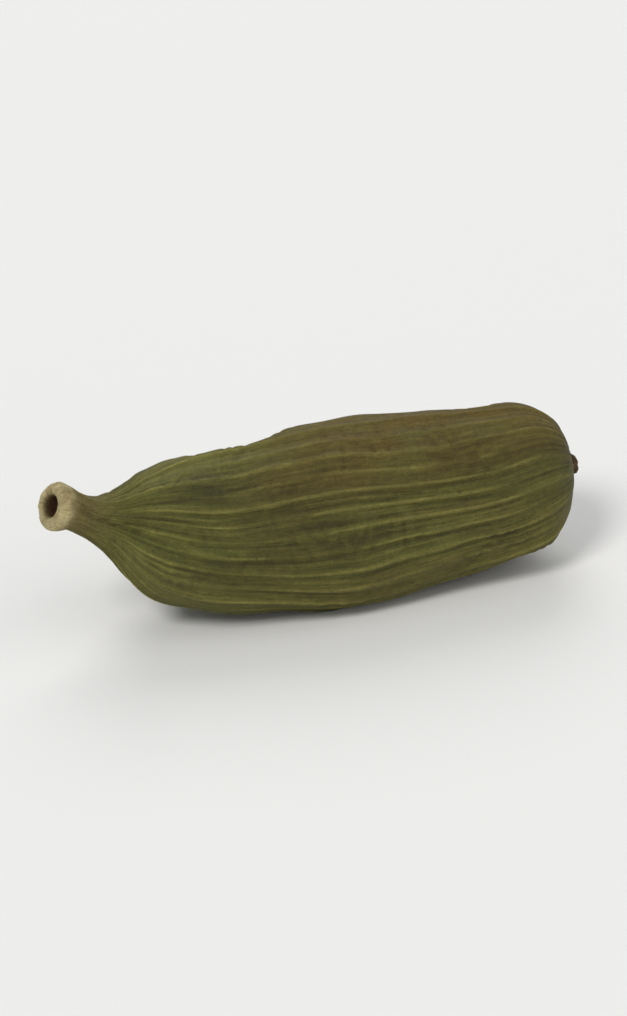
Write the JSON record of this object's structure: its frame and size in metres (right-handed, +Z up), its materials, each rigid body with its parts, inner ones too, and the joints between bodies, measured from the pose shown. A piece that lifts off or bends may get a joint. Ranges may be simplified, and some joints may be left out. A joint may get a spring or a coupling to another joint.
{
  "type": "green cardamom pod",
  "caption": "Dried green cardamom seed capsule, lying on its side: a ribbed, three-lobed husk with a bent neck, a hollow stalk scar and a blunt apex.",
  "frame": {"origin": "on the surface that the pod lies on, below the middle of its outline box", "axes": "+X runs from the stalk scar to the apex, -Y is the side that the neck bends to, and +Z is up"},
  "size_m": [0.0194, 0.0066, 0.0064],
  "materials": {
    "husk": "matt"
  },
  "bodies": {
    "root": {"pod": "husk"}
  },
  "joints": []
}
